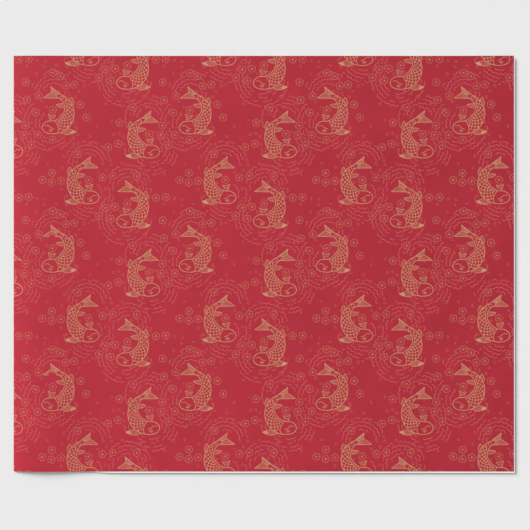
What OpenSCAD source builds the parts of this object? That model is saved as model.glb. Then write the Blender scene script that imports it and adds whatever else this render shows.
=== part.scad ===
// Folded sheet of printed gift wrap.
// One length of paper, folded across once with its printed side out, lying on a table.
// The fold runs along Y at the -X end, both free ends are at the +X end, and +Z is up.
// The origin is the middle of the bottom of the folded sheet's box.

/* [Sheet] */
// Width of the sheet, along the fold
sheet_w = 762; // [300:1:1200]
// Length that the sheet was cut to, before folding
sheet_l = 1838; // [900:1:3600]
// Thickness of the paper
paper_t = 0.12; // [0.08:0.01:0.3]

/* [Fold] */
// Radius of the soft crease, to the middle of the paper
crease_r = 1.2; // [0.8:0.1:3]
// Air between the two leaves where they lie flat
leaf_gap = 2.0; // [0.5:0.1:4]
// How far the lower leaf shows past the end of the upper leaf
end_peek = 1.8; // [0:0.1:12]
// How far the lower leaf's free end has slipped sideways
side_peek = 2.7; // [0:0.1:12]

/* [Bulge] */
// Stretch next to the crease where the upper leaf stands off the lower leaf
bulge_l = 160; // [80:1:320]
// Height that the bulge adds to the upper leaf
bulge_h = 4.2; // [3:0.1:14]
// Gap left between one panel and the next, at each line where the sheet bends
bend_gap = 0.3; // [0.1:0.05:0.6]
// Gap left between the two halves of the crease, which part as the fold opens
crease_gap = 0.4; // [0.2:0.05:0.8]

/* [Hidden] */

strips = 4;             // flat strips that the bulge's curve is made of
crease_facets = 48;     // fineness of the crease's arc
print_red = [0.72, 0.11, 0.19];
crease_red = [0.80, 0.24, 0.28];

// Heights of the middle of the paper
lower_mid = paper_t / 2;
upper_mid = paper_t + leaf_gap + paper_t / 2;
crease_top = lower_mid + 2 * crease_r;

// The bulge's curve: 1 at its crest, a third of the way along, and level where it meets the flat
function hump(u) = 27 / 4 * u * (1 - u) ^ 2;
function rise(u) = upper_mid + bulge_h * hump(u) + (crease_top - upper_mid) * (1 - u) ^ 2;

// Bend lines of the upper leaf as [x from the crease, height], and the strips between them
bends = [for (i = [0 : strips]) [bulge_l * i / strips, rise(i / strips)]];
strip_lengths = [for (i = [1 : strips]) norm(bends[i] - bends[i - 1])];
bulge_paper = strip_lengths * [for (i = [1 : strips]) 1];
crease_paper = PI * crease_r;
crease_cut = crease_gap / 2 / crease_r * 180 / PI;   // angle that the gap takes off each half

// The first strip leaves the crease at a slant, so its square end is cut back to meet it
first_rise = bends[1] - bends[0];
slant_cut = paper_t / 2 * first_rise[1] / first_rise[0];

// The two flat stretches share what is left of the sheet, and their ends lie end_peek apart
flat_paper = sheet_l - crease_paper - bulge_paper;
flat_difference = bulge_l + end_peek;
lower_len = (flat_paper + flat_difference) / 2;
upper_len = (flat_paper - flat_difference) / 2;

// Place of the crease's centre line, which puts the origin in the middle of the box
crease_out = crease_r + paper_t / 2;
crease_x = (crease_out - lower_len) / 2;
crease_y = side_peek / 2;

// Carries a shape drawn from the crease's centre line to its place in the frame
module from_crease() {
    translate([crease_x, crease_y, 0]) children();
}

// A flat panel of paper between two lines given as [x, height], cut back at either end
module panel(start, finish, cut_start, cut_finish) {
    run = finish - start;
    translate([start[0], 0, start[1]])
        rotate([0, -atan2(run[1], run[0]), 0])
            translate([cut_start, -sheet_w / 2, -paper_t / 2])
                cube([norm(run) - cut_start - cut_finish, sheet_w, paper_t]);
}

module lower_leaf() {
    color(print_red) from_crease()
        linear_extrude(paper_t)
            polygon([
                [0, -sheet_w / 2],
                [lower_len, -sheet_w / 2 - side_peek],
                [lower_len, sheet_w / 2 - side_peek],
                [0, sheet_w / 2]
            ]);
}

// A stretch of the crease's half round, from one angle above the +X direction to another
module crease_arc(from_angle, to_angle) {
    color(crease_red) from_crease()
        translate([0, sheet_w / 2, lower_mid + crease_r])
            rotate([90, 0, 0])
                rotate([0, 0, from_angle])
                    rotate_extrude(angle = to_angle - from_angle, $fn = crease_facets)
                        translate([crease_r - paper_t / 2, 0])
                            square([paper_t, sheet_w]);
}

module crease_lower_half() {
    crease_arc(180 + crease_cut, 270);
}

module crease_upper_half() {
    crease_arc(90, 180 - crease_cut);
}

module bulge_strip(i) {
    color(print_red) from_crease()
        panel(bends[i - 1], bends[i], i == 1 ? slant_cut : bend_gap / 2, bend_gap / 2);
}

module upper_leaf() {
    color(print_red) from_crease()
        panel(bends[strips], bends[strips] + [upper_len, 0], bend_gap / 2, 0);
}

lower_leaf();
crease_lower_half();
crease_upper_half();
bulge_strip(1);  // bulge_strip_1
bulge_strip(2);  // bulge_strip_2
bulge_strip(3);  // bulge_strip_3
bulge_strip(4);  // bulge_strip_4
upper_leaf();
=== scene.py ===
"""Folded sheet of carmine gift wrap, printed in gold with carp, blossoms and ripples."""

import math
import random

import bmesh
import bpy
import numpy as np
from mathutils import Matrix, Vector
from mathutils.geometry import delaunay_2d_cdt


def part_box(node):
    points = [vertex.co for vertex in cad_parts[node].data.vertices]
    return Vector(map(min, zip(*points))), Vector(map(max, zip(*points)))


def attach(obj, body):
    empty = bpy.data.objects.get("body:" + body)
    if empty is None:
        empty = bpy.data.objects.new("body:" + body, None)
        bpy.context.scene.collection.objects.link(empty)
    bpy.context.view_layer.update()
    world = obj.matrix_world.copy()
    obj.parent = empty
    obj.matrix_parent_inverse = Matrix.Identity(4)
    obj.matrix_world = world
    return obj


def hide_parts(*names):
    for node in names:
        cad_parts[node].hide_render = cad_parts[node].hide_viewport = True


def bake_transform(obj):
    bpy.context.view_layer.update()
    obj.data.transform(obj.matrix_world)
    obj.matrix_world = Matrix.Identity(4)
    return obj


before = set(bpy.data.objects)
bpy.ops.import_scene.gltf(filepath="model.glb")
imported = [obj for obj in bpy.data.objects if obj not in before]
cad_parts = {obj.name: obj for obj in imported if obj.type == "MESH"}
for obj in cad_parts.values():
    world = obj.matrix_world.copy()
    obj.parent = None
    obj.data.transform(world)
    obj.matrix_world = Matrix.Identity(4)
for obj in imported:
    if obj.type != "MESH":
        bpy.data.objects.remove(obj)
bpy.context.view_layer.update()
MM = 0.001
TO_MM = 1000

# ---------------------------------------------------------------------------
# Camera: straight above the sheet
# ---------------------------------------------------------------------------
CAMERA_HEIGHT = 1.5
VIEW_ACROSS = 0.9736  # width of table seen, in metres
VIEW_MIDDLE = (0.00168, -0.0013)  # point of the table at the middle of the view
SENSOR = 36.0

camera_data = bpy.data.cameras.new("overhead_camera")
camera_data.sensor_width = SENSOR
camera_data.lens = SENSOR * CAMERA_HEIGHT / VIEW_ACROSS
camera = bpy.data.objects.new("overhead_camera", camera_data)
camera.location = (*VIEW_MIDDLE, CAMERA_HEIGHT)
bpy.context.collection.objects.link(camera)
bpy.context.scene.camera = camera
bpy.context.scene.view_settings.view_transform = "Standard"
bpy.context.scene.view_settings.look = "None"

# ---------------------------------------------------------------------------
# Measures of the sheet, in millimetres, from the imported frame
# ---------------------------------------------------------------------------
PAPER = 0.12  # thickness of the paper
CREASE_RADIUS = 1.2  # to the middle of the paper
LOWER_CLEARANCE = 0.08  # keeps the ink under the lower leaf off the table
INK_UP = 0.05  # how far the ink's face stands off the paper's face
INK_DOWN = -0.02  # and how far its back is sunk into it
CRACK_SPREAD = 1.9  # the stretch beside the fold where the ink has cracked

lower_box = np.array(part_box("lower_leaf")) * TO_MM
upper_box = np.array(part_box("upper_leaf")) * TO_MM
first_strip = np.array(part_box("bulge_strip_1")) * TO_MM
crease_x = lower_box[0][0]
lower_end_x = lower_box[1][0]
upper_end_x = upper_box[1][0]
upper_mid = (upper_box[0][2] + upper_box[1][2]) / 2
middle_y = (upper_box[0][1] + upper_box[1][1]) / 2
half_width = (upper_box[1][1] - upper_box[0][1]) / 2
side_slip = upper_box[0][1] - lower_box[0][1]
bulge_run = round(upper_box[0][0] - crease_x, 0)
STRIPS = 4  # flat strips under the bulge
crease_top = PAPER / 2 + 2 * CREASE_RADIUS
crest_z = first_strip[1][2] - PAPER / 2


def hump(u):
    """The bulge's curve, 1 at its crest and level where it ends."""
    return 27 / 4 * u * (1 - u) ** 2


FIRST_BEND = 1 / STRIPS  # share of the bulge at which the first strip ends, at its crest
bulge_rise = (
    crest_z - upper_mid - (crease_top - upper_mid) * (1 - FIRST_BEND) ** 2
) / hump(FIRST_BEND)

# ---------------------------------------------------------------------------
# The paper's surface: a place for each point of the flat sheet
#   along: distance from the fold, + along the upper leaf, - along the lower
#   across: distance from the sheet's middle line, + towards +Y
# ---------------------------------------------------------------------------
ARC_POINTS = 24  # points along each quarter of the crease
BULGE_POINTS = 800
BULGE_STARTS = 0.6  # first point of the bulge's curve after the crease's arc
RUN_ON = 5  # how far each leaf's line runs on past its free end


def upper_profile():
    """Points (x, z) of the upper leaf's middle surface from the fold's outermost line."""
    start_slope = math.atan(
        (bulge_rise * 27 / 4 - 2 * (crease_top - upper_mid)) / bulge_run
    )
    turns = np.linspace(math.pi, math.pi / 2 + start_slope, ARC_POINTS)
    arc = np.stack(
        [
            crease_x + CREASE_RADIUS * np.cos(turns),
            PAPER / 2 + CREASE_RADIUS + CREASE_RADIUS * np.sin(turns),
        ],
        1,
    )
    run = np.linspace(BULGE_STARTS, bulge_run, BULGE_POINTS)
    u = run / bulge_run
    rise = upper_mid + bulge_rise * hump(u) + (crease_top - upper_mid) * (1 - u) ** 2
    bulge = np.stack([crease_x + run, rise], 1)
    flat = np.array([[upper_end_x, upper_mid], [upper_end_x + RUN_ON, upper_mid]])
    return np.concatenate([arc, bulge, flat])


def with_lengths(points):
    """The distances along a line of points, and the points' x and z."""
    steps = np.linalg.norm(np.diff(points, axis=0), axis=1)
    return np.concatenate([[0], np.cumsum(steps)]), points[:, 0], points[:, 1]


UPPER = with_lengths(upper_profile())
QUARTER = math.pi / 2 * CREASE_RADIUS
turns = np.linspace(math.pi, 1.5 * math.pi, ARC_POINTS)
lower_mid = PAPER / 2 + LOWER_CLEARANCE
lower_arc = np.stack(
    [
        crease_x + CREASE_RADIUS * np.cos(turns),
        PAPER / 2 + CREASE_RADIUS + (CREASE_RADIUS - LOWER_CLEARANCE) * np.sin(turns),
    ],
    1,
)
lower_flat = np.array([[lower_end_x, lower_mid], [lower_end_x + RUN_ON, lower_mid]])
LOWER = with_lengths(np.concatenate([lower_arc, lower_flat]))
upper_length = float(np.interp(upper_end_x, UPPER[1][ARC_POINTS:], UPPER[0][ARC_POINTS:]))
lower_length = float(
    np.interp(lower_end_x, LOWER[1][ARC_POINTS - 1 :], LOWER[0][ARC_POINTS - 1 :])
)

UPPER_EDGE_LIFT = 1.55  # how far the upper leaf's free edges stand up
LOWER_EDGE_LIFT = 3.1  # and the lower leaf's
END_LIFT_RUN = 130  # the stretch before the free end that rises
SIDE_LIFT_RUN = 120  # the strip along the -Y edge that rises
SIDE_LIFT_FROM, SIDE_LIFT_OVER = 60, 150  # where that strip starts from the fold, and how gently
LIFT_POWER = 1.5
FLAT_AT_FOLD = 150  # the stretch beside the fold over which waves and lifts fade in
WAVE_HEIGHT = 0.12
BULGE_MIDDLE = 0.76  # share of the bulge's height that shows at the sheet's middle line
BULGE_TAPER = 0.36  # what it gains towards the -Y edge, and loses towards the +Y edge
SLIP_FROM, SLIP_OVER = 95, 85  # where the lower leaf's slip starts from the fold, and how gently
NORMAL_STEP = 0.15  # half the distance over which a surface's slope is measured


def ease(t):
    """A smooth step from 0 to 1."""
    t = np.clip(t, 0, 1)
    return t * t * (3 - 2 * t)


def edge_lift(x, y):
    """0 over most of a leaf, rising to 1 at its free end and along its -Y edge."""
    end = ease((x - (upper_end_x - END_LIFT_RUN)) / END_LIFT_RUN) ** LIFT_POWER
    side = ease((-half_width + SIDE_LIFT_RUN - y) / SIDE_LIFT_RUN) ** LIFT_POWER
    side = side * ease((x - crease_x - SIDE_LIFT_FROM) / SIDE_LIFT_OVER)
    return 1 - (1 - end) * (1 - side)


def waves(x, y):
    """The slow unevenness of paper that was rolled and then laid flat."""
    lengthways = np.sin(x / 71 + 0.4 * np.sin(y / 93))
    crossways = np.sin(y / 58 + 1.3 + 0.6 * np.sin(x / 120))
    slanting = np.sin((x - y) / 39 + 0.7)
    return 0.5 * lengthways + 0.3 * crossways + 0.2 * slanting


def place(along, across):
    """Middle of the paper, in mm, for points of the flat sheet."""
    along, across = np.broadcast_arrays(np.asarray(along, float), np.asarray(across, float))
    up = along >= 0
    x = np.where(
        up,
        np.interp(along, UPPER[0], UPPER[1]),
        np.interp(-along, LOWER[0], LOWER[1]),
    )
    z = np.where(
        up,
        np.interp(along, UPPER[0], UPPER[2]),
        np.interp(-along, LOWER[0], LOWER[2]),
    )
    # The bulge stands higher along the -Y edge than along the +Y edge
    share = BULGE_MIDDLE - BULGE_TAPER * across / half_width
    u = np.clip((x - crease_x) / bulge_run, 0, 1)
    z = z + np.where(up, (share - 1) * bulge_rise * hump(u), 0)
    away = ease((x - crease_x) / FLAT_AT_FOLD)
    bumps = waves(x, across)
    lift = edge_lift(x, across)
    z = z + np.where(
        up,
        away * (WAVE_HEIGHT * bumps + UPPER_EDGE_LIFT * lift),
        away * (WAVE_HEIGHT * 0.5 * (bumps + 1) + LOWER_EDGE_LIFT * lift),
    )
    # The lower leaf has slipped sideways under the upper one
    slip = side_slip * ease((x - crease_x - SLIP_FROM) / SLIP_OVER)
    y = middle_y + across - np.where(up, 0, slip)
    return np.stack([x, y, z], -1)


def outward(along, across):
    """Unit normal of the printed side."""
    a = place(along + NORMAL_STEP, across) - place(along - NORMAL_STEP, across)
    b = place(along, across + NORMAL_STEP) - place(along, across - NORMAL_STEP)
    n = np.cross(a, b)
    return n / np.linalg.norm(n, axis=-1, keepdims=True)


def place_off(along, across, off):
    """A point that stands off the middle of the paper towards the printed side."""
    return place(along, across) + off * outward(along, across)


# ---------------------------------------------------------------------------
# Materials
# ---------------------------------------------------------------------------
def new_group(name, inputs, outputs):
    """An empty shader group with number inputs, and its end nodes."""
    group = bpy.data.node_groups.new(name, "ShaderNodeTree")
    for label, value in inputs:
        socket = group.interface.new_socket(label, in_out="INPUT", socket_type="NodeSocketFloat")
        socket.default_value = value
    for label, kind in outputs:
        group.interface.new_socket(label, in_out="OUTPUT", socket_type=kind)
    first = group.nodes.new("NodeGroupInput")
    last = group.nodes.new("NodeGroupOutput")
    return group, first, last


def node(tree, kind, values=(), **settings):
    """A new node with its settings and its inputs' values."""
    n = tree.nodes.new(kind)
    for k, v in settings.items():
        setattr(n, k, v)
    for k, v in dict(values).items():
        n.inputs[k].default_value = v
    return n


def sheet_uv(tree):
    """The place on the flat sheet, in metres."""
    return node(tree, "ShaderNodeUVMap", uv_map="flat_sheet").outputs["UV"]


FELT_SCALE = 900.0  # noise cells per metre of sheet, at fineness 1
BLOTCH_SCALE = 14.0


def fibre_group():
    """Paper fibres: a fine felted height, and slow blotches where ink or pulp lies thicker."""
    group, first, last = new_group(
        "paper_fibre",
        [("Fineness", 1.0), ("Blotches", 1.0)],
        [("Felt", "NodeSocketFloat"), ("Blotch", "NodeSocketFloat")],
    )
    uv = sheet_uv(group)
    fine = node(group, "ShaderNodeMath", operation="MULTIPLY")
    fine.inputs[1].default_value = FELT_SCALE
    group.links.new(first.outputs["Fineness"], fine.inputs[0])
    felt = node(group, "ShaderNodeTexNoise", {"Detail": 4.0, "Roughness": 0.65, "Distortion": 1.2})
    group.links.new(uv, felt.inputs["Vector"])
    group.links.new(fine.outputs[0], felt.inputs["Scale"])
    slow = node(group, "ShaderNodeMath", operation="MULTIPLY")
    slow.inputs[1].default_value = BLOTCH_SCALE
    group.links.new(first.outputs["Blotches"], slow.inputs[0])
    blotch = node(group, "ShaderNodeTexNoise", {"Detail": 5.0, "Roughness": 0.6})
    group.links.new(uv, blotch.inputs["Vector"])
    group.links.new(slow.outputs[0], blotch.inputs["Scale"])
    group.links.new(felt.outputs["Fac"], last.inputs["Felt"])
    group.links.new(blotch.outputs["Fac"], last.inputs["Blotch"])
    return group


def material(name, roughness, specular, metallic=0.0):
    """A material, its node tree and its shader."""
    mat = bpy.data.materials.new(name)
    mat.use_nodes = True
    tree = mat.node_tree
    shader = tree.nodes["Principled BSDF"]
    shader.inputs["Roughness"].default_value = roughness
    shader.inputs["Specular IOR Level"].default_value = specular
    shader.inputs["Metallic"].default_value = metallic
    return mat, tree, shader


def bump(tree, shader, height, strength, distance):
    """Fine relief from a height, over a distance in metres."""
    b = node(tree, "ShaderNodeBump", {"Strength": strength, "Distance": distance})
    tree.links.new(height, b.inputs["Height"])
    tree.links.new(b.outputs["Normal"], shader.inputs["Normal"])


def mix_colours(tree, fac, a, b):
    """The node that mixes colour a into colour b."""
    m = node(tree, "ShaderNodeMix", data_type="RGBA")
    m.inputs["A"].default_value = (*a, 1)
    m.inputs["B"].default_value = (*b, 1)
    tree.links.new(fac, m.inputs["Factor"])
    return m


def spread(tree, value, low, high, to_low=0.0, to_high=1.0):
    """A value whose range low to high is stretched to another range."""
    r = node(
        tree,
        "ShaderNodeMapRange",
        {"From Min": low, "From Max": high, "To Min": to_low, "To Max": to_high},
    )
    tree.links.new(value, r.inputs["Value"])
    return r.outputs["Result"]


def add_fibre(tree, fineness, blotches):
    """Places the fibre group in a material."""
    g = node(tree, "ShaderNodeGroup", node_tree=FIBRE)
    g.inputs["Fineness"].default_value = fineness
    g.inputs["Blotches"].default_value = blotches
    return g


FIBRE = fibre_group()
CARMINE = (0.400, 0.0245, 0.0415)
CARMINE_THIN = (0.450, 0.0290, 0.0475)
PAINTED_FALLOFF_OVER = 0.92  # length of a leaf, in metres, over which its red is painted a little darker away from the fold: painted shade standing in for light falling off across the sheet
# painted light: the red is painted brighter by the fold and darker at the leaves' free ends
PAINTED_LIGHT_AT_FOLD, PAINTED_SHADE_AT_END = 1.11, 0.90
FLECK_SCALE = (4200, 520, 1)  # flecks of cracked ink, short across the fold and long along it
PULP_WHITE = (0.90, 0.895, 0.88)
PULP_SHADE = (0.84, 0.83, 0.81)
FELT_RANGE = (0.25, 0.75)  # low and high values of the felt's noise
FACE_ROUGHNESS = (0.66, 0.78)
INK_ROUGHNESS = (0.56, 0.68)
GOLD = (0.600, 0.300, 0.168)
GOLD_WORN = (0.525, 0.208, 0.125)
ROSE = (0.575, 0.118, 0.116)
ROSE_WORN = (0.510, 0.076, 0.083)


def carmine_face():
    """Paper flooded with red ink: blotches of thicker ink, fibre relief, cracks at the fold, and
    painted shade that darkens the red away from the fold.
    """
    mat, tree, shader = material("carmine_printed_face", 0.72, specular=0.15)
    fibre = add_fibre(tree, 1.0, 1.0)
    blotch = spread(tree, fibre.outputs["Blotch"], 0.3, 0.7)
    ink = mix_colours(tree, blotch, CARMINE, CARMINE_THIN)
    # Cracked ink: white pulp shows in short flecks along the fold
    uv = sheet_uv(tree)
    parts = node(tree, "ShaderNodeSeparateXYZ")
    tree.links.new(uv, parts.inputs[0])
    near = node(tree, "ShaderNodeMath", operation="ABSOLUTE")
    tree.links.new(parts.outputs["X"], near.inputs[0])
    near_mask = spread(tree, near.outputs[0], 0.0, CRACK_SPREAD * MM, 1.0, 0.0)
    stretch = node(tree, "ShaderNodeMapping")
    stretch.inputs["Scale"].default_value = FLECK_SCALE
    tree.links.new(uv, stretch.inputs["Vector"])
    fleck = node(tree, "ShaderNodeTexNoise", {"Scale": 1.0, "Detail": 3.0, "Roughness": 0.7})
    tree.links.new(stretch.outputs[0], fleck.inputs["Vector"])
    fleck_mask = spread(tree, fleck.outputs["Fac"], 0.55, 0.68)
    cracks = node(tree, "ShaderNodeMath", operation="MULTIPLY")
    tree.links.new(near_mask, cracks.inputs[0])
    tree.links.new(fleck_mask, cracks.inputs[1])
    # Painted light falloff: the red is scaled brighter by the fold and darker towards each free
    # end
    painted_falloff = spread(tree, near.outputs[0], 0.0, PAINTED_FALLOFF_OVER, PAINTED_LIGHT_AT_FOLD, PAINTED_SHADE_AT_END)
    red_with_painted_falloff = node(tree, "ShaderNodeVectorMath", operation="SCALE")
    tree.links.new(ink.outputs["Result"], red_with_painted_falloff.inputs[0])
    tree.links.new(painted_falloff, red_with_painted_falloff.inputs["Scale"])
    whitened = node(tree, "ShaderNodeMix", data_type="RGBA")
    tree.links.new(cracks.outputs[0], whitened.inputs["Factor"])
    tree.links.new(red_with_painted_falloff.outputs[0], whitened.inputs["A"])
    whitened.inputs["B"].default_value = (*PULP_WHITE, 1)
    tree.links.new(whitened.outputs["Result"], shader.inputs["Base Color"])
    rough = spread(tree, fibre.outputs["Felt"], *FELT_RANGE, *FACE_ROUGHNESS)
    tree.links.new(rough, shader.inputs["Roughness"])
    bump(tree, shader, fibre.outputs["Felt"], 0.25, 0.00005)
    return mat


def pulp_back():
    """Uncoated white pulp, with faint grey flecks and a felted surface."""
    mat, tree, shader = material("white_uncoated_back", 0.92, specular=0.1)
    fibre = add_fibre(tree, 0.8, 1.6)
    tone = spread(tree, fibre.outputs["Blotch"], 0.35, 0.75)
    pulp = mix_colours(tree, tone, PULP_WHITE, PULP_SHADE)
    tree.links.new(pulp.outputs["Result"], shader.inputs["Base Color"])
    bump(tree, shader, fibre.outputs["Felt"], 0.5, 0.0001)
    return mat


def line_ink(name, full, thin, metallic):
    """An ink printed in lines, thinner where the plate pressed lightly."""
    mat, tree, shader = material(name, 0.62, specular=0.2, metallic=metallic)
    fibre = add_fibre(tree, 1.4, 6.0)
    worn = spread(tree, fibre.outputs["Blotch"], 0.42, 0.66)
    ink = mix_colours(tree, worn, full, thin)
    tree.links.new(ink.outputs["Result"], shader.inputs["Base Color"])
    rough = spread(tree, fibre.outputs["Felt"], *FELT_RANGE, *INK_ROUGHNESS)
    tree.links.new(rough, shader.inputs["Roughness"])
    bump(tree, shader, fibre.outputs["Felt"], 0.2, 0.00004)
    return mat


FACE, BACK = carmine_face(), pulp_back()
GOLD_INK = line_ink("warm_gold_ink", GOLD, GOLD_WORN, 0.08)
ROSE_INK = line_ink("faint_rose_ink", ROSE, ROSE_WORN, 0.0)


# ---------------------------------------------------------------------------
# Closed thin solids from points of the flat sheet
# ---------------------------------------------------------------------------
OUTER, INNER, RIM = 0, 1, 2
MAP_MARGIN = 0.01


def solid(name, flat, faces, off_out, off_in, materials, by_side=False, finishes=None):
    """Makes a closed solid over flat-sheet points: an outer face, an inner one and a rim.

    by_side gives the inner face and the rim the second material. finishes gives each face
    its own, and gives the solid a map that lays its whole print out once.
    """
    flat = np.asarray(flat, float)
    count = len(flat)
    outer = place_off(flat[:, 0], flat[:, 1], off_out)
    inner = place_off(flat[:, 0], flat[:, 1], off_in)
    normals = outward(flat[:, 0], flat[:, 1])
    edges = {}
    for i, face in enumerate(faces):
        for a, b in zip(face, face[1:] + face[:1]):
            edges[(a, b)] = i
    rim = [e for e in edges if (e[1], e[0]) not in edges]
    polygons = list(faces)
    polygons += [[i + count for i in reversed(face)] for face in faces]
    polygons += [[b, a, a + count, b + count] for a, b in rim]
    mesh = bpy.data.meshes.new(name)
    mesh.from_pydata(np.concatenate([outer, inner]) * MM, [], polygons)
    sides = np.repeat([OUTER, INNER, RIM], [len(faces), len(faces), len(rim)])
    for m in materials:
        mesh.materials.append(m)
    if by_side:
        mesh.polygons.foreach_set("material_index", np.minimum(sides, 1).astype(np.int32))
    if finishes is not None:
        index = np.concatenate([finishes, finishes, [finishes[edges[e]] for e in rim]])
        mesh.polygons.foreach_set("material_index", index.astype(np.int32))
    corner_point = np.zeros(len(mesh.loops), np.int32)
    mesh.loops.foreach_get("vertex_index", corner_point)
    sizes = np.zeros(len(mesh.polygons), np.int32)
    mesh.polygons.foreach_get("loop_total", sizes)
    corner_side = np.repeat(sides, sizes)
    at = flat[corner_point % count]
    uv = mesh.uv_layers.new(name="flat_sheet")
    uv.data.foreach_set("uv", (at * MM).astype(np.float32).ravel())
    if finishes is not None:
        low = flat.min(0)
        room = max(flat.max(0) - low)
        laid_out = (at - low) / room * (1 - 2 * MAP_MARGIN) + MAP_MARGIN
        bake = mesh.uv_layers.new(name="OFBake")
        bake.data.foreach_set("uv", laid_out.astype(np.float32).ravel())
    corner_normal = normals[corner_point % count]
    corner_normal[corner_side == INNER] *= -1
    flat_normals = np.zeros(3 * len(mesh.polygons), np.float32)
    mesh.update()
    mesh.polygons.foreach_get("normal", flat_normals)
    flat_normals = np.repeat(flat_normals.reshape(-1, 3), sizes, axis=0)
    on_rim = corner_side == RIM
    corner_normal[on_rim] = flat_normals[on_rim]
    mesh.polygons.foreach_set("use_smooth", np.ones(len(mesh.polygons), bool))
    mesh.normals_split_custom_set(corner_normal.tolist())
    obj = bpy.data.objects.new(name, mesh)
    bpy.context.collection.objects.link(obj)
    return obj


def stations(*runs):
    """Distances from runs of (start, end, spacing)."""
    out = []
    for start, end, spacing in runs:
        n = max(1, int(math.ceil(abs(end - start) / spacing - 1e-6)))
        out += list(np.linspace(start, end, n + 1)[:-1])
    out.append(runs[-1][1])
    return out


ACROSS = stations((-half_width, half_width, 8.0))


def along_at(x_from_crease):
    """Distance along the upper leaf of a line x_from_crease beside the crease."""
    x = crease_x + x_from_crease
    return float(np.interp(x, UPPER[1][ARC_POINTS:], UPPER[0][ARC_POINTS:]))


def paper_stretch(name, along):
    """A stretch of paper with the printed face out and the white back in."""
    flat = [(a, c) for a in along for c in ACROSS]
    n = len(ACROSS)
    faces = [
        [i * n + j, (i + 1) * n + j, (i + 1) * n + j + 1, i * n + j + 1]
        for i in range(len(along) - 1)
        for j in range(n - 1)
    ]
    return solid(name, flat, faces, PAPER / 2, -PAPER / 2, [FACE, BACK], by_side=True)


# The stretches meet at the middles of the bulge's strips
strip = bulge_run / STRIPS
JOIN_1, JOIN_2, JOIN_3 = (along_at(strip * k) for k in (1.5, 2.5, 3.5))
crease_arc_end = float(UPPER[0][ARC_POINTS - 1])
# Stations along each stretch, closer together where the paper bends more
STRETCHES = {
    "lower": stations((-lower_length, -60, 9.0), (-60, -QUARTER, 6.0), (-QUARTER, 0, 0.25)),
    "fold": stations((0, crease_arc_end, 0.2), (crease_arc_end, 10, 1.5), (10, JOIN_1, 4.0)),
    "crest": stations((JOIN_1, JOIN_2, 4.0)),
    "slope": stations((JOIN_2, JOIN_3, 4.0)),
    "upper": stations((JOIN_3, 200, 5.0), (200, upper_length, 9.0)),
}
paper = {
    key: paper_stretch(f"paper_{key}_leaf" if key in ("lower", "upper") else f"paper_{key}", run)
    for key, run in STRETCHES.items()
}

# ---------------------------------------------------------------------------
# Print: strokes of each motif, in mm, drawn flat with +Y up
# ---------------------------------------------------------------------------
REPEAT_ACROSS, REPEAT_DOWN = 250.9, 253.5

# Widths of the lines
BODY_LINE = 1.25
STRONG_LINE = 1.1
FINE_LINE = 0.9
LID_LINE = 0.7
BOLD_RAY, THIN_RAY = 0.8, 0.45
BLOSSOM_LINE, STAMEN_LINE = 0.5, 0.4
PETAL_LINE = 0.75
RIPPLE_LINE = 1.2

INSIDE_TRIANGLES = 1  # the kind of mesh asked for: triangles, inside the outlines only
WELD = 1e-3  # points closer than this become one


class Ink:
    """Gathers inked polygons and joins them into one flat triangle mesh."""

    def __init__(self):
        self.points, self.faces = [], []

    def shape(self, outline):
        """A solid patch."""
        start = len(self.points)
        self.points += [tuple(p) for p in outline]
        self.faces.append(list(range(start, start + len(outline))))

    def stroke(self, line, width, closed=False):
        """A ribbon of one width along a line."""
        line = [np.array(p, float) for p in line]
        n = len(line)
        sides = []
        for i, p in enumerate(line):
            before = line[i - 1] if closed or i else p
            after = line[(i + 1) % n] if closed or i < n - 1 else p
            d = after - before
            d = d / max(np.linalg.norm(d), 1e-9)
            side = np.array([-d[1], d[0]]) * width / 2
            sides.append((p + side, p - side))
        start = len(self.points)
        for a, b in sides:
            self.points += [tuple(a), tuple(b)]
        for i in range(n if closed else n - 1):
            j = (i + 1) % n
            self.faces.append([start + 2 * i, start + 2 * i + 1, start + 2 * j + 1, start + 2 * j])

    def joined(self):
        """(points, triangles) of everything inked, with overlaps made one."""
        coords = [Vector(p) for p in self.points]
        out = delaunay_2d_cdt(coords, [], self.faces, INSIDE_TRIANGLES, WELD, True)
        points, faces, source = out[0], out[2], out[5]
        kept = []
        for face, of in zip(faces, source):
            if of:
                a, b, c = (points[i] for i in face)
                kept.append(list(face) if (b - a).cross(c - a) > 0 else list(reversed(face)))
        return np.array([tuple(p) for p in points]), kept


def bend_line(points, steps):
    """A smooth line through a few points."""
    p = [np.array(q, float) for q in points]
    p = [2 * p[0] - p[1]] + p + [2 * p[-1] - p[-2]]
    out = []
    for i in range(1, len(p) - 2):
        for k in range(steps):
            t = k / steps
            out.append(
                0.5
                * (
                    2 * p[i]
                    + (p[i + 1] - p[i - 1]) * t
                    + (2 * p[i - 1] - 5 * p[i] + 4 * p[i + 1] - p[i + 2]) * t * t
                    + (3 * p[i] - p[i - 1] - 3 * p[i + 1] + p[i + 2]) * t**3
                )
            )
    out.append(p[-2])
    return out


# The carp's body follows an arc; t runs from snout to tail stem, w from the middle to the back
BODY_CENTRE, BODY_RADIUS = (-9.0, -1.0), 30.0
SNOUT_ANGLE, STEM_ANGLE = -127.0, 66.0
BODY_LENGTH = BODY_RADIUS * math.radians(STEM_ANGLE - SNOUT_ANGLE)
# Half widths as (t, width)
HEAD = [(0.0, 0.6), (0.01, 4.6), (0.03, 7.8), (0.055, 10.0), (0.09, 11.2), (0.13, 11.6)]
BACK_WIDTHS = HEAD + [(0.36, 11.4), (0.5, 10.4), (0.66, 8.4), (0.82, 6.0), (0.93, 4.3), (1.0, 3.8)]
BELLY_WIDTHS = HEAD + [
    (0.3, 13.2), (0.42, 13.6), (0.56, 12.0), (0.68, 9.2), (0.82, 6.2), (0.93, 4.2), (1.0, 3.8)
]
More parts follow.
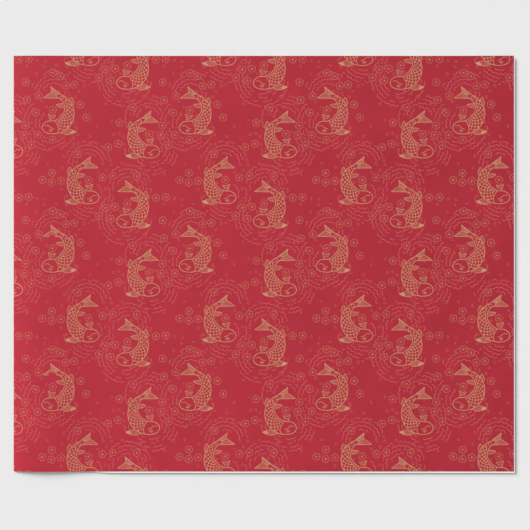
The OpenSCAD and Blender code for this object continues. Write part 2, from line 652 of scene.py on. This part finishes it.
# Values of t at the points of the outline
OUTLINE_AT = [t for t, _ in HEAD]
OUTLINE_AT += [0.2, 0.28, 0.36, 0.45, 0.54, 0.62, 0.7, 0.78, 0.86, 0.93, 1.0]
FIRST_SCALE, LAST_SCALE = 0.29, 0.93
SCALE_ROWS = 17
SCALE_WIDTH, SCALE_STEP = 7.6, 3.8  # across the body, and from row to row along it
SCALE_ARC = (-90, -50, -18, 18, 50, 90)  # angles of a scale's points
# The big fin: root and outer margin, and its solid tip
BIG_FIN = [((17.7, -32.3), (5.0, -39.4)), [(33.5, -38.2), (26.0, -42.0), (14.0, -43.8)]]
BIG_FIN_TIP = [(33.5, -38.2), (26.4, -35.7), (23.0, -39.0), (22.4, -42.6), (28.0, -41.2)]
# The smaller fins: root, outer margin, rays
SMALL_FINS = [
    (((-14.6, -17.6), (-8.0, -14.6)), [(-17.8, -6.0), (-11.0, -8.8), (-4.0, -8.2)], 5),
    (((10.6, 5.2), (9.8, 13.2)), [(2.5, 6.4), (-3.4, 10.8), (1.5, 12.6)], 4),
    (((27.8, 9.6), (21.4, 18.2)), [(29.2, 15.5), (25.4, 24.6), (21.8, 22.0)], 3),
]
TAIL_FORK = (-2.6, 29.6)
TAIL_NOTCH = (-12.2, 33.6)
UPPER_LOBE = [(-13.6, 44.5), (-12.0, 38.5), TAIL_NOTCH]
LOWER_LOBE = [TAIL_NOTCH, (-18.5, 29.5), (-27.0, 23.4)]
# Circles (x, y, radius) over the fins and the tail, which other motifs keep off
FIN_ROOM = [
    (-13, 33, 8), (-22, 26, 5), (-12, 41, 4), (18, -38, 7),
    (27, -38, 4), (-15, -9, 5), (1, 10, 5), (25, 20, 4),
]


def half_body(t, side=1):
    """Half width on the back (side 1) or the belly (side -1)."""
    widths = BACK_WIDTHS if side > 0 else BELLY_WIDTHS
    return float(np.interp(t, [a for a, _ in widths], [b for _, b in widths]))


def on_body(t, w):
    """The point (x, y) of the body at t and w."""
    angle = math.radians(SNOUT_ANGLE + t * (STEM_ANGLE - SNOUT_ANGLE))
    r = BODY_RADIUS + w
    return (BODY_CENTRE[0] + r * math.cos(angle), BODY_CENTRE[1] + r * math.sin(angle))


def round_ring(at, rx, ry, count):
    """Points of an upright ellipse."""
    turns = [2 * math.pi * k / count for k in range(count)]
    return [(at[0] + rx * math.cos(a), at[1] + ry * math.sin(a)) for a in turns]


def fin(ink, root, margin, rays, line, ray):
    """A fin from its root line to its outer margin, filled with rays."""
    edge = bend_line(margin, 3)
    ink.stroke(edge, line)
    spans = np.cumsum([0] + [float(np.linalg.norm(b - a)) for a, b in zip(edge, edge[1:])])
    for k in range(rays + 2):
        share = k / (rays + 1)
        foot = np.array(root[0]) * (1 - share) + np.array(root[1]) * share
        tip = np.array([np.interp(share * spans[-1], spans, [p[i] for p in edge]) for i in (0, 1)])
        rim = k in (0, rays + 1)
        ink.stroke([foot, tip], line if rim else ray)


def draw_carp():
    """One carp: its head at the lower left, its back to the right and its tail at the top."""
    ink = Ink()
    back = [on_body(t, half_body(t)) for t in OUTLINE_AT]
    belly = [on_body(t, -half_body(t, -1)) for t in OUTLINE_AT]
    ink.stroke(list(reversed(back)) + belly, BODY_LINE)
    # Head: gill cover, brow, and an eye with its lid line
    gill = [
        on_body(0.245 + 0.04 * (1 - q * q), q * half_body(0.26, 1 if q > 0 else -1) * 0.98)
        for q in np.linspace(-1, 1, 9)
    ]
    ink.stroke(gill, STRONG_LINE)
    brow = [on_body(0.035, 1.0), on_body(0.09, -2.6), on_body(0.15, 0.4), on_body(0.21, 2.4)]
    ink.stroke(bend_line(brow, 3), FINE_LINE)
    eye = on_body(0.155, 5.6)
    ink.stroke(round_ring(eye, 3.4, 2.0, 8), LID_LINE, closed=True)
    ink.shape(round_ring(eye, 1.3, 1.1, 6))
    # A line inside the belly, which the scales stop at
    inside = [on_body(t, -half_body(t, -1) + 3.2) for t in np.linspace(FIRST_SCALE, 0.86, 12)]
    ink.stroke(inside, FINE_LINE)
    # Scales: staggered rows of arcs, open towards the head
    for row in range(SCALE_ROWS):
        t0 = FIRST_SCALE + row * SCALE_STEP / BODY_LENGTH
        for k in range(-3, 3):
            w0 = (k + (0.5 if row % 2 else 0.0)) * SCALE_WIDTH + 1.0
            run = []
            for a in SCALE_ARC:
                t = t0 + (SCALE_STEP + 0.5) * math.cos(math.radians(a)) / BODY_LENGTH
                w = w0 + SCALE_WIDTH / 2 * math.sin(math.radians(a))
                if -half_body(t, -1) + 3.0 <= w <= half_body(t) and t < LAST_SCALE:
                    run.append(on_body(t, w))
            if len(run) > 1:
                ink.stroke(run, FINE_LINE)
    fin(ink, *BIG_FIN, 4, STRONG_LINE, BOLD_RAY)
    ink.shape(BIG_FIN_TIP)
    for root, margin, rays in SMALL_FINS:
        fin(ink, root, margin, rays, FINE_LINE, THIN_RAY)
    # Tail: a ring at the stem, then two lobes
    stem = on_body(0.95, 0)
    ink.stroke(round_ring((stem[0] - 0.4, stem[1] + 0.3), 3.4, 2.6, 10), FINE_LINE, closed=True)
    fin(ink, (on_body(1.0, 3.8), TAIL_FORK), UPPER_LOBE, 6, STRONG_LINE, THIN_RAY)
    fin(ink, (TAIL_FORK, on_body(1.0, -3.8)), LOWER_LOBE, 6, STRONG_LINE, THIN_RAY)
    return ink


BLOSSOM_SIZE = 7.2


def polar(at, radius, angle):
    """The point at a distance and an angle from another one."""
    return (at[0] + radius * math.cos(angle), at[1] + radius * math.sin(angle))


def draw_blossom(ink, at, turn):
    """Five round petals, a stamen between each two, and a dot in the middle."""
    petal_r, petal_at = BLOSSOM_SIZE * 0.45, BLOSSOM_SIZE * 0.56
    outline = []
    for k in range(5):
        a0 = turn + k * 2 * math.pi / 5
        centre = polar(at, petal_at, a0)
        outline += [polar(centre, petal_r, a0 + math.radians(b)) for b in (-74, -26, 26, 74)]
    ink.stroke(outline, BLOSSOM_LINE, closed=True)
    for k in range(5):
        a0 = turn + (k + 0.5) * 2 * math.pi / 5
        ink.stroke([polar(at, 0.7, a0), polar(at, petal_at, a0)], STAMEN_LINE)
    ink.shape([polar(at, 0.95, a) for a in np.linspace(0, 2 * math.pi, 6)[:-1]])


def draw_petal(ink, at, turn, long, wide):
    """A loose petal: a small turned ellipse."""
    points = []
    for a in np.linspace(0, 2 * math.pi, 7)[:-1]:
        x, y = long / 2 * math.cos(a), wide / 2 * math.sin(a)
        turned_x = at[0] + x * math.cos(turn) - y * math.sin(turn)
        turned_y = at[1] + x * math.sin(turn) + y * math.cos(turn)
        points.append((turned_x, turned_y))
    ink.stroke(points, PETAL_LINE, closed=True)


# Where the carp lie in one repeat, as (across, down, faces the other way)
CARP = [(83.0, 101.0, False), (219.0, 19.0, False), (240.0, 145.0, True), (129.0, 229.0, True)]
rng = random.Random(20)


def wrapped(distance, repeat):
    """A distance in the repeat, taken the shorter way round."""
    return (distance + repeat / 2) % repeat - repeat / 2


def near_carp(p, slack):
    """Whether a point of the repeat lies within slack of a carp."""
    for cx, cy, flipped in CARP:
        dx = wrapped(p[0] - cx, REPEAT_ACROSS)
        dy = wrapped(-p[1] + cy, REPEAT_DOWN)
        if flipped:
            dx = -dx
        for t in np.linspace(0, 1, 12):
            bx, by = on_body(t, 0)
            if math.hypot(dx - bx, dy - by) < half_body(t) + slack:
                return True
        for fx, fy, r in FIN_ROOM:
            if math.hypot(dx - fx, dy - fy) < r + slack:
                return True
    return False


def between(p, q):
    """Distance between two points of the repeat."""
    return math.hypot(wrapped(p[0] - q[0], REPEAT_ACROSS), wrapped(p[1] - q[1], REPEAT_DOWN))


def apart(p, others, gap):
    """Whether a point keeps a gap from every other one."""
    return all(between(p, q) >= gap for q in others)


GATHER_FROM, GATHER_OVER = 46, 26  # distances from a carp's middle over which motifs thin out
MOST_TRIES = 20000


def scatter(count, slack, gap, others, gather):
    """Random places in the repeat, clear of the carp, each other and other places.

    others is (places, the gap from them); gather is the share left out far from the carp.
    """
    found = []
    tries = 0
    while len(found) < count and tries < MOST_TRIES:
        tries += 1
        p = (rng.uniform(0, REPEAT_ACROSS), rng.uniform(0, REPEAT_DOWN))
        nearest = min(between(p, c) for c in CARP)
        if rng.random() < gather * ease(np.array((nearest - GATHER_FROM) / GATHER_OVER)):
            continue
        if not near_carp(p, slack) and apart(p, found, gap) and apart(p, others[0], others[1]):
            found.append(p)
    return found


def upright(p):
    """From (across, down) in the repeat to (x, y) with y up."""
    return (p[0], -p[1])


# One blossom lies in each carp's curve, and the rest gather round the carp
curled = [(cx + (9.5 if flipped else -9.5), cy - 1.5) for cx, cy, flipped in CARP]
# scatter(how many, room round the carp, gap between them, (others, gap from those), gather)
blossoms = curled + scatter(33, 7.0, 15.2, (curled, 15.2), gather=0.75)
petals = scatter(78, 3.0, 7.6, (blossoms, 11.0), gather=0.3)

# Fans of ripples round the head and the tail: (centre x, y, facing, first radius, rows)
RIPPLE_FANS = [(-14, -24, -112, 18.5, 5), (-8, 30, 62, 19.0, 4)]
RIPPLE_SWEEP = 112  # degrees to either side of the way a fan faces
RIPPLE_ROW = 7.2
SCALLOP_CHORD, SCALLOP_SWELL = 8.6, 2.5
LEFT_OUT, MORE_LEFT_OUT = 0.05, 0.045  # share of scallops left out, and what each row adds


def draw_ripples(ink):
    """Broken rows of scallops round each carp's head and tail."""
    drawn = []
    kept_off = [(blossoms, 8.6), (petals, 4.0), (drawn, 6.4)]  # and the gaps from them
    for cx, cy, flipped in CARP:
        for hx, hy, facing, first, rows in RIPPLE_FANS:
            for row in range(rows):
                r = first + RIPPLE_ROW * row
                n = int(math.radians(2 * RIPPLE_SWEEP) * r / SCALLOP_CHORD)
                for k in range(n):
                    if rng.random() < LEFT_OUT + MORE_LEFT_OUT * row:
                        continue
                    nth = k + 0.5 * (row % 2)
                    a = math.radians(facing - RIPPLE_SWEEP + 2 * RIPPLE_SWEEP * nth / n)
                    step = SCALLOP_CHORD / r / 2
                    arc = []
                    for q in np.linspace(-1, 1, 5):
                        swelled = r + SCALLOP_SWELL * (1 - q * q)
                        x, y = polar((hx, hy), swelled, a + q * step)
                        arc.append((cx + (-x if flipped else x), -cy + y))
                    middle = (arc[2][0], -arc[2][1])
                    if near_carp(middle, 3.4):
                        continue
                    if not all(apart(middle, others, gap) for others, gap in kept_off):
                        continue
                    drawn.append(middle)
                    ink.stroke(list(reversed(arc)) if flipped else arc, RIPPLE_LINE)


def motif_object(name, ink, copies=((0, 0, False),)):
    """A flat mesh of one motif, placed once or more in the repeat."""
    points, faces = ink.joined()
    all_points, all_faces = [], []
    for x, y, flipped in copies:
        start = len(all_points)
        all_points += [((-p[0] if flipped else p[0]) + x, p[1] - y, 0.0) for p in points]
        all_faces += [[i + start for i in (reversed(f) if flipped else f)] for f in faces]
    mesh = bpy.data.meshes.new(name)
    mesh.from_pydata(all_points, [], all_faces)
    obj = bpy.data.objects.new(name, mesh)
    bpy.context.collection.objects.link(obj)
    return obj


# ---------------------------------------------------------------------------
# Geometry Nodes: the repeat, stepped over the whole open sheet
# ---------------------------------------------------------------------------
def repeat_tree():
    """Steps a motif over a lattice of columns and rows, and inks it."""
    tree = bpy.data.node_groups.new("print_repeat", "GeometryNodeTree")
    face = tree.interface
    face.new_socket("Geometry", in_out="INPUT", socket_type="NodeSocketGeometry")
    for label, kind in (
        ("Motif", "NodeSocketObject"),
        ("Columns", "NodeSocketInt"),
        ("Rows", "NodeSocketInt"),
        ("Repeat Across", "NodeSocketFloat"),
        ("Repeat Down", "NodeSocketFloat"),
        ("First Corner", "NodeSocketVector"),
        ("Ink", "NodeSocketMaterial"),
    ):
        face.new_socket(label, in_out="INPUT", socket_type=kind)
    face.new_socket("Geometry", in_out="OUTPUT", socket_type="NodeSocketGeometry")
    first, last = tree.nodes.new("NodeGroupInput"), tree.nodes.new("NodeGroupOutput")
    link = tree.links.new

    def line(count, step, axis):
        """A row of points a step apart along an axis."""
        offset = tree.nodes.new("ShaderNodeCombineXYZ")
        link(step, offset.inputs[axis])
        n = tree.nodes.new("GeometryNodeMeshLine")
        link(count, n.inputs["Count"])
        link(offset.outputs[0], n.inputs["Offset"])
        return n.outputs["Mesh"]

    minus = tree.nodes.new("ShaderNodeMath")
    minus.operation = "MULTIPLY"
    minus.inputs[1].default_value = -1.0
    link(first.outputs["Repeat Down"], minus.inputs[0])
    across = line(first.outputs["Columns"], first.outputs["Repeat Across"], "X")
    down = line(first.outputs["Rows"], minus.outputs[0], "Y")
    rows = tree.nodes.new("GeometryNodeInstanceOnPoints")
    link(down, rows.inputs["Points"])
    link(across, rows.inputs["Instance"])
    lattice = tree.nodes.new("GeometryNodeRealizeInstances")
    link(rows.outputs["Instances"], lattice.inputs["Geometry"])
    shift = tree.nodes.new("GeometryNodeSetPosition")
    link(lattice.outputs["Geometry"], shift.inputs["Geometry"])
    link(first.outputs["First Corner"], shift.inputs["Offset"])
    motif = tree.nodes.new("GeometryNodeObjectInfo")
    link(first.outputs["Motif"], motif.inputs["Object"])
    stamp = tree.nodes.new("GeometryNodeInstanceOnPoints")
    link(shift.outputs["Geometry"], stamp.inputs["Points"])
    link(motif.outputs["Geometry"], stamp.inputs["Instance"])
    real = tree.nodes.new("GeometryNodeRealizeInstances")
    link(stamp.outputs["Instances"], real.inputs["Geometry"])
    inked = tree.nodes.new("GeometryNodeSetMaterial")
    link(real.outputs["Geometry"], inked.inputs["Geometry"])
    link(first.outputs["Ink"], inked.inputs["Material"])
    link(inked.outputs["Geometry"], last.inputs["Geometry"])
    return tree


REPEAT = repeat_tree()


def printed(motif, ink_material):
    """The motif stepped over the open sheet: a flat mesh of (along, across), and its ink."""
    carrier = bpy.data.objects.new("print_carrier", bpy.data.meshes.new("print_carrier"))
    bpy.context.collection.objects.link(carrier)
    back = math.ceil(lower_length / REPEAT_ACROSS) + 1
    values = {
        "Motif": motif,
        "Columns": back + math.ceil(upper_length / REPEAT_ACROSS) + 1,
        "Rows": math.ceil(2 * half_width / REPEAT_DOWN) + 2,
        "Repeat Across": REPEAT_ACROSS,
        "Repeat Down": REPEAT_DOWN,
        "First Corner": (-back * REPEAT_ACROSS, half_width + REPEAT_DOWN, 0.0),
        "Ink": ink_material,
    }
    modifier = carrier.modifiers.new("print_repeat", "NODES")
    modifier.node_group = REPEAT
    for item in REPEAT.interface.items_tree:
        if item.in_out == "INPUT" and item.name in values:
            modifier[item.identifier] = values[item.name]
    bpy.context.view_layer.update()
    evaluated = carrier.evaluated_get(bpy.context.evaluated_depsgraph_get())
    mesh = bpy.data.meshes.new_from_object(evaluated)
    bpy.data.objects.remove(carrier)
    bpy.data.objects.remove(motif)
    return mesh, ink_material


EDGE_MARGIN = 0.05  # the print stops this far inside the paper's edges
MOTIF_REACH = 70  # longer than any triangle of the print


def cut_line(bm, at, axis, keep=0):
    """Cuts the flat print across; keep +1 or -1 drops what lies on the other side."""
    normal = (1, 0, 0) if axis == "along" else (0, 1, 0)
    bmesh.ops.bisect_plane(
        bm,
        geom=bm.verts[:] + bm.edges[:] + bm.faces[:],
        dist=1e-5,
        plane_co=tuple(at * c for c in normal),
        plane_no=normal,
        clear_inner=keep > 0,
        clear_outer=keep < 0,
    )


def print_part(name, prints, start, end, extra=()):
    """A closed piece of ink: the print between two lines across the sheet.

    extra lines are cut as well, so that the ink can follow the crease round.
    """
    points, faces, finishes = [], [], []
    inks = [GOLD_INK, ROSE_INK] if len(prints) > 1 else [prints[0][1]]
    for mesh, ink_material in prints:
        bm = bmesh.new()
        bm.from_mesh(mesh)
        far = [
            v for v in bm.verts if v.co.x < start - MOTIF_REACH or v.co.x > end + MOTIF_REACH
        ]
        bmesh.ops.delete(bm, geom=far, context="VERTS")
        cut_line(bm, start, "along", 1)
        cut_line(bm, end, "along", -1)
        cut_line(bm, -half_width + EDGE_MARGIN, "across", 1)
        cut_line(bm, half_width - EDGE_MARGIN, "across", -1)
        for at in extra:
            cut_line(bm, at, "along")
        bm.verts.index_update()
        first = len(points)
        points += [(v.co.x, v.co.y) for v in bm.verts]
        faces += [[v.index + first for v in f.verts] for f in bm.faces]
        finishes += [inks.index(ink_material)] * len(bm.faces)
        bm.free()
    out, sunk = PAPER / 2 + INK_UP, PAPER / 2 + INK_DOWN
    return solid(name, points, faces, out, sunk, inks, finishes=finishes)


carp = draw_carp()
facing_left = printed(motif_object("carp_motif", carp, [c for c in CARP if not c[2]]), GOLD_INK)
facing_right = printed(motif_object("carp_motif", carp, [c for c in CARP if c[2]]), GOLD_INK)
flower_ink, faint_ink = Ink(), Ink()
for p in blossoms:
    draw_blossom(flower_ink, upright(p), rng.uniform(0, 2 * math.pi))
for p in petals:
    long = rng.uniform(4.2, 6.4)
    turn = rng.uniform(0, math.pi)
    draw_petal(faint_ink, upright(p), turn, long, long * rng.uniform(0.5, 0.75))
flowers = printed(motif_object("blossom_motif", flower_ink), GOLD_INK)
draw_ripples(faint_ink)
ripples = printed(motif_object("ripple_motif", faint_ink), ROSE_INK)

# Lines along which the ink is cut to bend round the lower and the upper half of the crease
fold_cuts = [-k * QUARTER / 7 for k in range(1, 8)]
arc_cuts = [k * crease_arc_end / 6 for k in range(1, 7)]
KINDS = {
    "carp_left": [facing_left],
    "carp_right": [facing_right],
    "blossom": [flowers],
    "ripple": [ripples],
}
everything = [facing_left, facing_right, flowers, ripples]
lower_stop, upper_stop = -lower_length + EDGE_MARGIN, upper_length - EDGE_MARGIN
ink = {
    "fold": [print_part("ink_fold", everything, 0, JOIN_1, arc_cuts)],
    "crest": [print_part("ink_crest", everything, JOIN_1, JOIN_2)],
    "slope": [print_part("ink_slope", everything, JOIN_2, JOIN_3)],
    "lower": [
        print_part(f"ink_lower_{k}", m, lower_stop, 0, fold_cuts) for k, m in KINDS.items()
    ],
    "upper": [print_part(f"ink_upper_{k}", m, JOIN_3, upper_stop) for k, m in KINDS.items()],
}
for mesh, _ in everything:
    bpy.data.meshes.remove(mesh)

# ---------------------------------------------------------------------------
# Floor and light
# ---------------------------------------------------------------------------
FLOOR_HALF = 30.0
FLOOR_TONES = (0.80, 0.80, 0.795), (0.81, 0.81, 0.805)
floor_mesh = bpy.data.meshes.new("pale_floor")
corners = [(FLOOR_HALF * x, FLOOR_HALF * y, 0) for x, y in ((-1, -1), (1, -1), (1, 1), (-1, 1))]
floor_mesh.from_pydata(corners, [], [[0, 1, 2, 3]])
floor = bpy.data.objects.new("pale_floor", floor_mesh)
bpy.context.collection.objects.link(floor)
floor_mat, floor_tree, floor_shader = material("pale_table", 0.9, specular=0.1)
floor_noise = node(floor_tree, "ShaderNodeTexNoise", {"Scale": 3.0, "Detail": 2.0})
floor_place = node(floor_tree, "ShaderNodeTexCoord")
floor_tree.links.new(floor_place.outputs["Object"], floor_noise.inputs["Vector"])
floor_tone = mix_colours(floor_tree, floor_noise.outputs["Fac"], *FLOOR_TONES)
floor_tree.links.new(floor_tone.outputs["Result"], floor_shader.inputs["Base Color"])
floor_mesh.materials.append(floor_mat)

SUN_ELEVATION, SUN_AZIMUTH = 25.5, 140.0  # degrees; from the upper left of the view
SUN_STRENGTH, SUN_WIDTH = 4.16, 30.0  # its width, in degrees, makes the shadows soft
DOME_STRENGTH = 0.46
sun_data = bpy.data.lights.new("key_softbox", "SUN")
sun_data.energy = SUN_STRENGTH
sun_data.angle = math.radians(SUN_WIDTH)
sun_data.color = (1.0, 0.996, 0.99)
sun = bpy.data.objects.new("key_softbox", sun_data)
sun.rotation_euler = (math.radians(90 - SUN_ELEVATION), 0, math.radians(SUN_AZIMUTH + 90))
bpy.context.collection.objects.link(sun)
world = bpy.data.worlds.new("studio")
bpy.context.scene.world = world
world.use_nodes = True
sky = world.node_tree
dome = sky.nodes["Background"]
dome.inputs["Color"].default_value = (0.985, 0.99, 1.0, 1)
dome.inputs["Strength"].default_value = DOME_STRENGTH
backdrop = node(sky, "ShaderNodeBackground", {"Color": (0.82, 0.82, 0.815, 1), "Strength": 1.0})
seen = node(sky, "ShaderNodeLightPath")
either = node(sky, "ShaderNodeMixShader")
sky.links.new(seen.outputs["Is Camera Ray"], either.inputs[0])
sky.links.new(dome.outputs[0], either.inputs[1])
sky.links.new(backdrop.outputs[0], either.inputs[2])
sky.links.new(either.outputs[0], sky.nodes["World Output"].inputs["Surface"])


# Pieces of the lower leaf ride its body; the other stretches, from the crease out, keep their
# places in the world
for key, sheet_piece in paper.items():
    for piece in [sheet_piece] + ink[key]:
        if key == "lower":
            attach(piece, "lower_leaf")
        else:
            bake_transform(piece)
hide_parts("lower_leaf", "crease_lower_half")
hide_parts("crease_upper_half", "bulge_strip_1")
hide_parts("bulge_strip_2")
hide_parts("bulge_strip_3")
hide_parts("bulge_strip_4", "upper_leaf")
